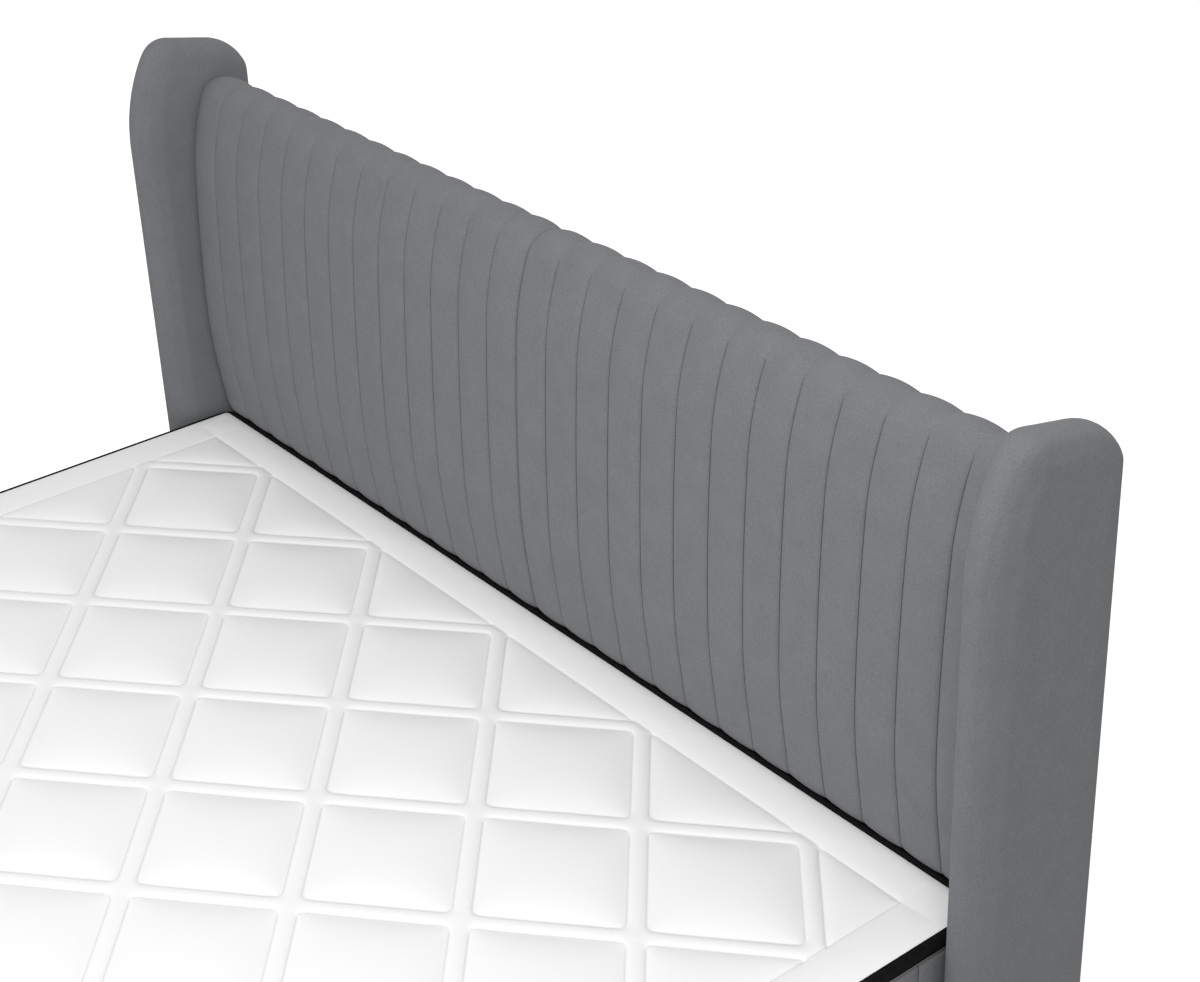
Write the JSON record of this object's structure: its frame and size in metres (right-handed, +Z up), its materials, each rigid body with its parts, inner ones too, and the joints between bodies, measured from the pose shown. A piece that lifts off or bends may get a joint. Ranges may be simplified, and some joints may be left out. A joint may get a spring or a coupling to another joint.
{
  "type": "wingback bed",
  "caption": "Upholstered double bed with a tall channelled headboard between two padded wings, a padded box base and a quilted mattress.",
  "frame": {"origin": "on the floor, below the middle of the bed's bounding box", "axes": "+X to the right seen from the foot end, +Y towards the headboard, +Z up"},
  "size_m": [1.916, 2.112, 1.272],
  "materials": {
    "beige_piping": "woven beige cord",
    "black_mesh": "black spacer mesh",
    "black_plastic": "moulded, fine grain",
    "board": "raw particle board and plywood",
    "dark_cloth": "black spunbond backing cloth",
    "fleece": "white spunbond fleece",
    "foam": "open-cell foam",
    "grey_fabric": "matte fine-woven upholstery fabric",
    "pine": "planed pine",
    "steel": "zinc-plated steel",
    "white_quilt": "white knitted ticking, quilted"
  },
  "bodies": {
    "root": {"base_panel_foot": "grey_fabric", "base_panel_left": "grey_fabric", "base_panel_right": "grey_fabric", "base_rail_foot": "board", "base_rail_head": "board", "base_rail_left": "board", "base_rail_right": "board", "beam_brackets": "steel", "centre_beam": "pine", "centre_legs": "pine", "corner_blocks": "pine", "floor_glides": "black_plastic", "foot_back_left": "black_plastic", "foot_back_right": "black_plastic", "foot_front_left": "black_plastic", "foot_front_right": "black_plastic", "headboard_back_cloth": "dark_cloth", "headboard_bolts": "steel", "headboard_bottom_rail": "pine", "headboard_carrier_left": "board", "headboard_carrier_right": "board", "headboard_foam_left": "foam", "headboard_foam_right": "foam", "headboard_lower_panel": "board", "headboard_pad_left": "grey_fabric", "headboard_pad_right": "grey_fabric", "headboard_post_centre": "pine", "headboard_post_left": "pine", "headboard_post_right": "pine", "headboard_top_rail": "pine", "ledger_left": "pine", "ledger_right": "pine", "mattress_bottom_panel": "dark_cloth", "mattress_comfort_foam": "foam", "mattress_piping": "beige_piping", "mattress_shoulder": "black_mesh", "mattress_side_foot": "grey_fabric", "mattress_side_head": "grey_fabric", "mattress_side_left": "grey_fabric", "mattress_side_right": "grey_fabric", "mattress_spring_core": "fleece", "mattress_top_panel": "white_quilt", "slat_01": "pine", "slat_02": "pine", "slat_03": "pine", "slat_04": "pine", "slat_05": "pine", "slat_06": "pine", "slat_07": "pine", "slat_08": "pine", "slat_09": "pine", "slat_10": "pine", "slat_11": "pine", "slat_12": "pine", "wing_bolts": "steel", "wing_core_left": "board", "wing_core_right": "board", "wing_cover_left": "grey_fabric", "wing_cover_right": "grey_fabric"}
  },
  "joints": []
}
